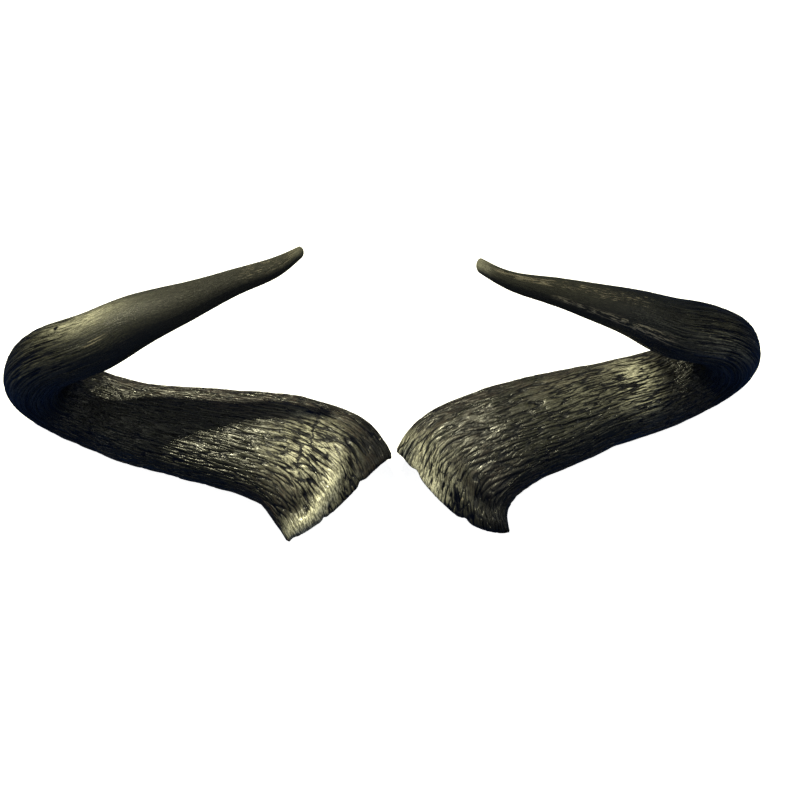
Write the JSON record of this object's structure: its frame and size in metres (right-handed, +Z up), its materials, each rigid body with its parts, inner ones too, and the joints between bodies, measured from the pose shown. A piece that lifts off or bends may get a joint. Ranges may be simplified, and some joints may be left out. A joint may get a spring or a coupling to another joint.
{
  "type": "pair of wildebeest horns",
  "caption": "Pair of dark wildebeest horns lying base to base: a broad, rough, hollow base leg, a tight bend and a smooth leg tapering back to a blunt tip.",
  "frame": {"origin": "centre of the pair's bounding box, on the surface that the pair lies on", "axes": "+X along the pair from the left horn to the right horn, +Y away from the viewer, from the lower rim corners to the bends, +Z up from the surface"},
  "size_m": [0.6084, 0.1772, 0.1941],
  "materials": {
    "horn_left": "dark olive-black horn keratin, rough and cracked on the base leg, satin towards the tip",
    "horn_right": "dark brown-black horn keratin, rough and cracked on the base leg, satin towards the tip"
  },
  "bodies": {
    "root": {"horn_left": "horn_left", "horn_right": "horn_right"}
  },
  "joints": []
}
